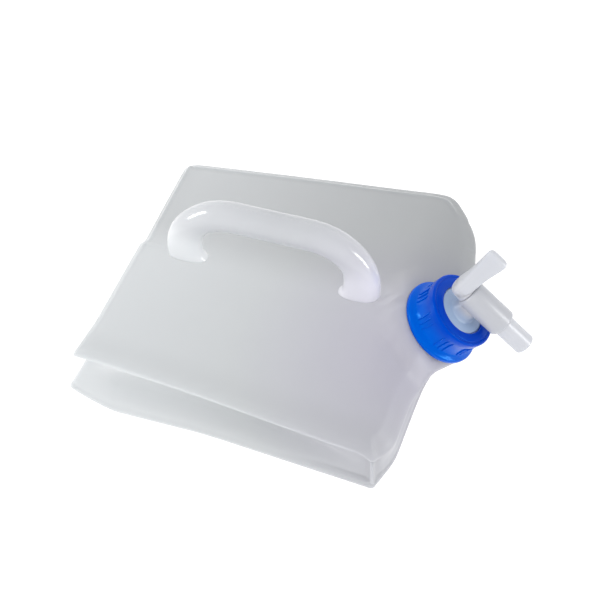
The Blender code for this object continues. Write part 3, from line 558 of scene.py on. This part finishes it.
# Stations along the arch: the side, the place, the angle that the tube has turned through,
# how round it is, and its fillet. The first leg's foot stands a little further in.
stations = []
for side, foot_inset in ((1, 0.0030), (-1, 0.0004)):
    leg = []
    for rise, fillet in HANDLE_FILLET:
        leg.append((side, HANDLE_HALF_SPAN - foot_inset, RIDGE_HEIGHT + rise, 0.0, 0.0, fillet))
    for k in range(1, BEND_STEPS + 1):
        angle = pi / 2 * k / BEND_STEPS
        ease = float(smooth(k / ROUND_STEPS))
        x = HANDLE_HALF_SPAN - foot_inset * (1 - ease) - HANDLE_BEND_RADIUS * (1 - cos(angle))
        z = RIDGE_HEIGHT + HANDLE_HEIGHT - HANDLE_BEND_RADIUS * (1 - sin(angle))
        leg.append((side, x, z, angle, ease, 0.0))
    stations += leg if side > 0 else leg[::-1]

# The tube in section, with its points close together at the parting line, where the two
# halves of the mould leave a fine flash
turns = [0, 1.5, 3, 5, *range(9, 172, 9), 175, 177, 178.5]
turns = [radians(angle) for angle in turns + [angle + 180 for angle in turns]]
rows = []
for side, x, z, angle, ease, fillet in stations:
    half_length, half_width = (f + (HANDLE_TUBE_RADIUS - f) * ease for f in HANDLE_FOOT)
    squareness = 0.78 + 0.22 * ease
    row = []
    for turn in turns:
        flash = FLASH_HEIGHT * max(1 - abs(sin(turn)) / sin(FLASH_ANGLE), 0.0) * max(cos(turn), 0.0)
        along, across = abs(cos(turn)) ** squareness, abs(sin(turn)) ** squareness
        out = along * (half_length if cos(turn) > 0 else -half_length - fillet) + flash
        y = (across if turn < pi else -across) * half_width
        row.append((HANDLE_CENTRE_X + side * (x + out * cos(angle)), y, z + out * sin(angle)))
    rows.append(row)
handle = new_piece("carry_handle_skin", skin_over(rows), handle_skin)
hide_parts("carry_handle")
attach(handle, "top")
# Milky plastic lets the studio's light through, so the handle darkens nothing below it
handle.visible_shadow = False
handle.visible_diffuse = False


# Filler neck: the thick threaded spout of the same moulding, standing on a low collar.
# The ring hides it until it is screwed off.
NECK_FRAME = Matrix.Translation(NECK_SEAT) @ Matrix.Rotation(NECK_TILT, 4, "Y")
NECK_RADIUS = 0.0234
THREAD_PITCH = 0.0040
THREAD_START = 0.0075
THREAD_TURNS = 2
THREAD_SECTION = ((0.0229, -0.00085), (0.0248, -0.0004), (0.0248, 0.0004), (0.0229, 0.00085))
STEPS_PER_TURN = 72


def turned(profile, sides=96, close=True):
    """Spins a profile of (radius, height) points about Z."""
    bm = bmesh.new()
    verts = [bm.verts.new((radius, 0.0, height)) for radius, height in profile]
    edges = [bm.edges.new(pair) for pair in zip(verts, verts[1:] + (verts[:1] if close else []))]
    bmesh.ops.spin(
        bm, geom=verts + edges, cent=(0, 0, 0), axis=(0, 0, 1), angle=tau, steps=sides,
        use_merge=True,
    )
    bmesh.ops.remove_doubles(bm, verts=bm.verts, dist=0.000001)
    return bm


def rounded(bm, radius, segments=3):
    """Rounds every edge that turns by more than 25 degrees."""
    bmesh.ops.recalc_face_normals(bm, faces=bm.faces)
    joining = [edge for edge in bm.edges if len(edge.link_faces) == 2]
    edges = [edge for edge in joining if edge.calc_face_angle() > radians(25)]
    bmesh.ops.bevel(
        bm, geom=edges, offset=radius, segments=segments, profile=0.5, affect="EDGES",
        material=-1, clamp_overlap=True,
    )
    return bm


def set_in(bm, matrix):
    """Moves a bmesh to its place."""
    bmesh.ops.transform(bm, matrix=matrix, verts=bm.verts)
    return bm


bm = turned((
    (0.0305, -0.0060), (0.0305, -0.0010), (0.0298, -0.0004), (NECK_RADIUS, -0.0004),
    (NECK_RADIUS, 0.0200), (0.0208, 0.0200), (0.0208, -0.0060),
))
rounded(bm, 0.0005)
section = [bm.verts.new((radius, 0.0, THREAD_START + rise)) for radius, rise in THREAD_SECTION]
lines = [bm.edges.new(pair) for pair in zip(section, section[1:])]
bmesh.ops.spin(
    bm, geom=section + lines, cent=(0, 0, 0), axis=(0, 0, 1), angle=THREAD_TURNS * tau,
    steps=THREAD_TURNS * STEPS_PER_TURN, dvec=(0, 0, THREAD_PITCH / STEPS_PER_TURN),
)
neck = new_piece("threaded_neck", set_in(bm, NECK_FRAME), milky, sharp=radians(50))
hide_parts("filler_neck")
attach(neck, "top")


# Screw ring: injection-moulded polypropylene, coloured through, with grip ribs in groups round its waist
# and a fine groove near the rim of its top face. It is glossy. Its blue is painted lighter low down, as
# painted light through its skirt, and darker up at its top face, as painted shade.
RING_HEIGHT = 0.0262
RING_WAIST = 0.0274
RIB_GROUPS = 8
RIB_SPACING = radians(8)
RIB_SIZE = (0.0021, 0.0009, 0.0140, 1)


def colour_up_neck(material, place, lower, upper, start, end):
    """Colours a material from one colour to another between two heights on the neck's axis."""
    axis = NECK_FRAME.col[2].to_3d()
    along_axis = {"operation": "DOT_PRODUCT", SECOND_VALUE: axis}
    level = add_node(material, "ShaderNodeVectorMath", along_axis, Vector=place)
    base = axis.dot(NECK_SEAT)
    reach = {"From Min": base + start, "From Max": base + end}
    share = add_node(material, "ShaderNodeMapRange", reach, Value=level.outputs["Value"])
    colours = {"data_type": "RGBA", COLOUR_A: linear(lower), COLOUR_B: linear(upper)}
    mixed = add_node(material, "ShaderNodeMix", colours, Factor=share.outputs["Result"])
    shader = material.node_tree.nodes["Principled BSDF"]
    material.node_tree.links.new(mixed.outputs[COLOUR_RESULT], shader.inputs["Base Color"])


blue, _ = new_finish("polypropylene_blue", {
    "Roughness": 0.16, "IOR": 1.49, "Specular IOR Level": 0.3, "Specular Tint": (0.0, 0.5, 1.0, 1.0),
    "Subsurface Weight": 0.25, "Subsurface Radius": (0.2, 0.6, 1.0), "Subsurface Scale": 0.002,
})
place = add_node(blue, "ShaderNodeTexCoord").outputs["Object"]
# Painted light and shade: lighter blue low on the skirt, darker up at the top face.
colour_up_neck(blue, place, "#0056c8", "#003cb6", start=0.012, end=RING_HEIGHT)
moulded_grain(blue, place, scale=260.0, detail=3.0, strength=0.12, distance=0.0003)

bm = turned((
    (0.0252, 0.0), (0.0322, 0.0), (0.0326, 0.0006), (0.0326, 0.0030), (0.0318, 0.0040),
    (0.0296, 0.0050), (0.0281, 0.0064), (RING_WAIST, 0.0090), (RING_WAIST, 0.0162),
    (0.0282, 0.0196), (0.0286, 0.0212), (0.0286, 0.0252), (0.0277, RING_HEIGHT),
    (0.0262, RING_HEIGHT), (0.0259, RING_HEIGHT - 0.0005), (0.0255, RING_HEIGHT - 0.0005),
    (0.0252, RING_HEIGHT), (0.0192, RING_HEIGHT), (0.0186, RING_HEIGHT - 0.0007),
    (0.0186, RING_HEIGHT - 0.0022), (0.0252, RING_HEIGHT - 0.0022),
), sides=128)
rounded(bm, 0.0004, segments=2)
for group in range(RIB_GROUPS):
    for rib in (-1, 0, 1):
        turn = Matrix.Rotation(tau * group / RIB_GROUPS + rib * RIB_SPACING, 4, "Z")
        spot = Matrix.Translation((RING_WAIST, 0, RING_HEIGHT / 2))
        shape = turn @ spot @ Matrix.Diagonal(RIB_SIZE)
        made = bmesh.ops.create_cube(bm, size=1.0, matrix=shape)["verts"]
        edges = list({edge for vert in made for edge in vert.link_edges})
        bmesh.ops.bevel(
            bm, geom=edges, offset=0.0003, segments=2, profile=0.5, affect="EDGES", material=-1,
        )
ring = new_piece("ribbed_ring", set_in(bm, NECK_FRAME), blue, sharp=radians(50))
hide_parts("screw_ring")
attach(ring, "ring")
# Light comes through the ring too, so it casts no dark shadow
ring.visible_shadow = False


# Seal washer: a flat ring of white silicone rubber, matt and slightly dusty. It is laid
# loose between the neck's mouth and the tap's flange, and the ring presses it tight.
rubber, _ = new_finish("silicone_rubber_white", {"Base Color": linear("#d6d5d0"), "Roughness": 0.6})
place = add_node(rubber, "ShaderNodeTexCoord").outputs["Object"]
moulded_grain(rubber, place, scale=500.0, detail=2.0, strength=0.2, distance=0.0001)
bm = turned(((0.0150, 0.0203), (0.0236, 0.0203), (0.0236, 0.0217), (0.0150, 0.0217)))
rounded(bm, 0.0003)
washer = new_piece("flat_washer", set_in(bm, NECK_FRAME), rubber)
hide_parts("seal_washer")
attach(washer, "seal")


# Tap housing: natural polypropylene, moulded in one with its flange, a tapered stem and the barrel that
# the plug turns in. It is cloudy and half glossy, and its tone is painted a shade darker than the
# plug's, as painted shade on the barrel.
TAP_FRAME = NECK_FRAME @ Matrix.Translation((0, 0, 0.0415)) @ Matrix.Rotation(-0.129, 4, "Z")
BARREL_RADIUS = 0.01075
BARREL_BORE = 0.0083
BARREL_BACK = 0.0098
BARREL_FRONT = 0.0256
ALONG_BARREL = Matrix.Rotation(pi / 2, 4, "Y")


def tap_plastic(name, pale, painted_ring_glow=None):
    """Cloudy polypropylene, which may have blue light from the ring painted on close to the ring."""
    material, shader = new_finish(name, {
        "Base Color": linear(pale), "Roughness": 0.32, "IOR": 1.49, "Subsurface Weight": 0.5,
        "Subsurface Radius": (1.0, 1.05, 1.15), "Subsurface Scale": 0.002,
    })
    place = add_node(material, "ShaderNodeTexCoord").outputs["Object"]
    if painted_ring_glow:
        colour_up_neck(material, place, painted_ring_glow, pale, start=0.024, end=0.033)
    moulded_grain(material, place, scale=300.0, detail=2.0, strength=0.06, distance=0.0002)
    return material


def add_part(bm, part):
    """Adds one bmesh to another."""
    shape = bpy.data.meshes.new("part")
    part.to_mesh(shape)
    part.free()
    bm.from_mesh(shape)
    bpy.data.meshes.remove(shape)


# Painted light: the ring's blue painted on the housing's flange, fading up the stem.
natural = tap_plastic("polypropylene_natural_painted_darker", "#b4b6bc", painted_ring_glow="#9bb2d0")

bm = turned((
    (0.0, 0.0220), (0.0236, 0.0220), (0.0236, 0.0237), (0.0180, 0.0237), (0.0180, 0.0249),
    (0.0110, 0.0250), (0.0095, 0.0262), (0.0088, 0.0300), (0.0082, 0.0400), (0.0, 0.0400),
), close=False)
rounded(bm, 0.0004, segments=2)
set_in(bm, NECK_FRAME)
barrel = turned((
    (0.0, -BARREL_BACK), (BARREL_RADIUS - 0.0012, -BARREL_BACK),
    (BARREL_RADIUS, -BARREL_BACK + 0.0012), (BARREL_RADIUS, BARREL_FRONT - 0.0014),
    (BARREL_RADIUS - 0.0014, BARREL_FRONT), (BARREL_BORE, BARREL_FRONT),
    (BARREL_BORE, BARREL_FRONT - 0.003), (0.0, BARREL_FRONT - 0.003),
), close=False)
rounded(barrel, 0.0005, segments=2)
add_part(bm, set_in(barrel, TAP_FRAME @ ALONG_BARREL))
housing = new_piece("tap_barrel_and_stem", bm, natural, sharp=radians(50))
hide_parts("tap_housing")
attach(housing, "tap_body")


# Tap plug: lever, plug and nozzle in one polypropylene moulding, pushed through the barrel
# from its back. The lever's blade grows out of the round hub that stays outside there.
HUB_RADIUS = 0.0088
PLUG_RADIUS = 0.0080
NOZZLE_BORE = 0.0052
BLADE_X = -0.01585
BLADE_POINTS = 48

# The blade's sections: height, how far it leans back, and its width along the barrel and
# thickness across it
BLADE = (
    (-0.0030, 0.0000, 0.0100, 0.0160), (0.0000, 0.0000, 0.0116, 0.0177),
    (0.0040, -0.0002, 0.0118, 0.0172), (0.0080, -0.0005, 0.0120, 0.0156),
    (0.0150, -0.0014, 0.0122, 0.0122), (0.0220, -0.0022, 0.0132, 0.0094),
    (0.0295, -0.0030, 0.0146, 0.0080), (0.0350, -0.0036, 0.0158, 0.0072),
    (0.0378, -0.0039, 0.0162, 0.0070), (0.0398, -0.0041, 0.0156, 0.0062),
    (0.0410, -0.0042, 0.0138, 0.0046), (0.0414, -0.0042, 0.0100, 0.0024),
)

bm = turned((
    (0.0, -0.0216), (0.0046, -0.0214), (0.0066, -0.0204), (0.0078, -0.0186), (0.0084, -0.0160),
    (HUB_RADIUS, -0.0101), (PLUG_RADIUS, -0.0101), (PLUG_RADIUS, 0.0482),
    (PLUG_RADIUS - 0.001, 0.0492), (0.0062, 0.0492), (NOZZLE_BORE, 0.0484),
    (NOZZLE_BORE, 0.0300), (0.0, 0.0300),
), close=False)
rounded(bm, 0.0005, segments=2)
set_in(bm, ALONG_BARREL)
rows = []
for height, shift, width, thickness in BLADE:
    row = []
    for k in range(BLADE_POINTS):
        turn = tau * k / BLADE_POINTS
        out, side = (abs(f(turn)) ** 0.5 * (1 if f(turn) > 0 else -1) for f in (cos, sin))
        row.append((BLADE_X + shift + out * width / 2, side * thickness / 2, height))
    rows.append(row)
add_part(bm, skin_over(rows))
white = tap_plastic("polypropylene_white", "#c3c5cb")
plug = new_piece("lever_plug_and_nozzle", set_in(bm, TAP_FRAME), white, sharp=radians(50))
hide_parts("tap_plug")
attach(plug, "tap_lever")


# Floor: a plain pale light table of opal acrylic. It glows evenly by itself, because the
# photograph has a white ground without a shadow.
opal, _ = new_finish("opal_acrylic", {
    "Base Color": linear("#909090"), "Roughness": 0.9,
    "Emission Color": (1.0, 1.0, 1.0, 1.0), "Emission Strength": 0.90,
})
bm = bmesh.new()
bmesh.ops.create_grid(bm, x_segments=1, y_segments=1, size=4.0)
floor_sheet = new_piece("studio_floor", bm, opal, turn_out=False)


# Studio: white surroundings, brightest in front of the carrier, and two soft boxes at its
# left and right, which give highlights only.
BRIGHT_SIDE = (-0.30, -0.93, -0.20)
world = bpy.data.worlds.new("studio_white")
bpy.context.scene.world = world
world.use_nodes = True
background = world.node_tree.nodes["Background"]
background.inputs["Color"].default_value = (1.0, 1.0, 1.0, 1.0)
way = add_node(world, "ShaderNodeTexCoord").outputs["Generated"]
toward_bright = {"operation": "DOT_PRODUCT", SECOND_VALUE: BRIGHT_SIDE}
facing = add_node(world, "ShaderNodeVectorMath", toward_bright, Vector=way)
brightness = {"From Min": -1.0, "From Max": 1.0, "To Min": 0.95, "To Max": 1.50}
glow = add_node(world, "ShaderNodeMapRange", brightness, Value=facing.outputs["Value"])
world.node_tree.links.new(glow.outputs["Result"], background.inputs["Strength"])


def soft_box(name, place, target, size, power):
    """A soft box of a width, height and power in watts, turned to its target. It is seen in
    glossy reflections only."""
    data = bpy.data.lights.new(name, "AREA")
    data.shape = "RECTANGLE"
    data.size, data.size_y = size
    data.energy = power
    lamp = bpy.data.objects.new(name, data)
    bpy.context.scene.collection.objects.link(lamp)
    lamp.visible_diffuse = False
    lamp.location = place
    lamp.rotation_euler = (Vector(target) - Vector(place)).to_track_quat("-Z", "Y").to_euler()


soft_box("left_box", (-0.88, -0.20, 0.42), (0, 0, 0.08), (0.19, 0.46), 4.4)
soft_box("right_box", (0.95, -0.10, 0.31), (0, 0, 0.08), (0.22, 0.54), 4.4)


# Camera: at the photograph's angle, over the carrier's front right side. Its place, way and
# lens were fitted to the outlines there.
camera = bpy.data.objects.new("camera", bpy.data.cameras.new("camera"))
bpy.context.scene.collection.objects.link(camera)
camera.data.lens = 54.0
camera.data.sensor_width = 36.0
right = Vector((0.95211, 0.30573, -0.00293))
down = Vector((0.23067, -0.7246, -0.64942))
ahead = Vector((-0.20067, 0.61765, -0.76042))
turn = Matrix((right, -down, -ahead)).transposed().to_4x4()
camera.matrix_world = Matrix.Translation((0.16235, -0.43682, 0.57583)) @ turn
bpy.context.scene.camera = camera
bpy.context.scene.view_settings.view_transform = "Standard"
